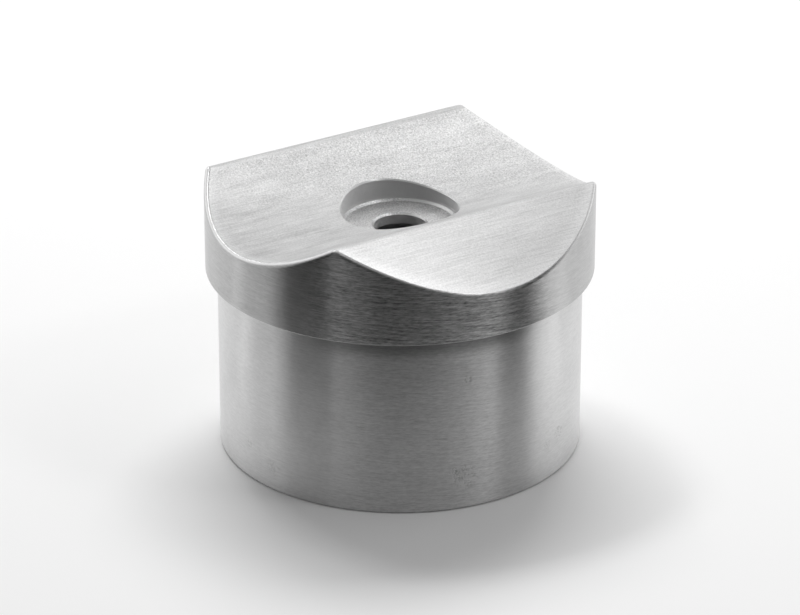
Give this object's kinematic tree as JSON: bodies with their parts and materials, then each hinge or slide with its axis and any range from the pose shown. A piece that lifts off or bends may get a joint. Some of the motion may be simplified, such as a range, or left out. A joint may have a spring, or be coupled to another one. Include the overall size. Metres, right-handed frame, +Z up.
{
  "type": "perpendicular tube saddle collar",
  "caption": "Hollow cast steel collar that plugs into a post tube and carries a crossing tube in a concave saddle, with a counterbored screw hole.",
  "frame": {"origin": "middle of the plug's lower end, where the collar stands on a flat surface", "axes": "+Z up the plug's axis and out of the screw hole, +X along the saddle, the way the crossing tube lies"},
  "size_m": [0.0508, 0.0508, 0.037],
  "materials": {
    "satin_steel": "satin brushed, round the walls and along the saddle"
  },
  "bodies": {
    "root": {"saddle_collar": "satin_steel"}
  },
  "joints": []
}
